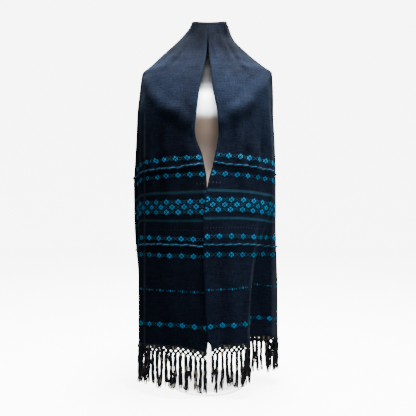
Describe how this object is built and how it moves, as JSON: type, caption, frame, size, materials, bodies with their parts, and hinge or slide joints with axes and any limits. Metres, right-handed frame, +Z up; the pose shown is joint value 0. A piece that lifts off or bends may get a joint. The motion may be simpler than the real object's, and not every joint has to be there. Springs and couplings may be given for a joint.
{
  "type": "rebozo shawl on dress form",
  "caption": "Long woven shawl with knotted fringe, draped over the neck and shoulders of a limbless dress form on a round-based stand.",
  "frame": {"origin": "middle of the underside of the stand's round base, on the surface that it stands on", "axes": "+Z up along the dress form; the shawl's open front faces -Y, and +X is to the viewer's right"},
  "size_m": [0.4565, 0.2688, 1.122],
  "materials": {
    "woven_navy": "matte handwoven cotton, dark navy with turquoise brocade",
    "cord_yarn": "loosely twisted grey-blue yarn",
    "fringe_yarn": "knotted black and navy cotton yarn",
    "form_cover": "smooth pale cover",
    "stand_paint": "satin white"
  },
  "bodies": {
    "root": {"shawl_hood": "woven_navy", "shawl_back": "woven_navy", "shawl_front_left": "woven_navy", "shawl_front_right": "woven_navy", "cord_upper_left": "cord_yarn", "cord_upper_right": "cord_yarn", "cord_lower_left": "cord_yarn", "cord_lower_right": "cord_yarn", "fringe_left": "fringe_yarn", "fringe_right": "fringe_yarn", "form_torso": "form_cover", "stand_pole": "stand_paint", "stand_base": "stand_paint"}
  },
  "joints": []
}
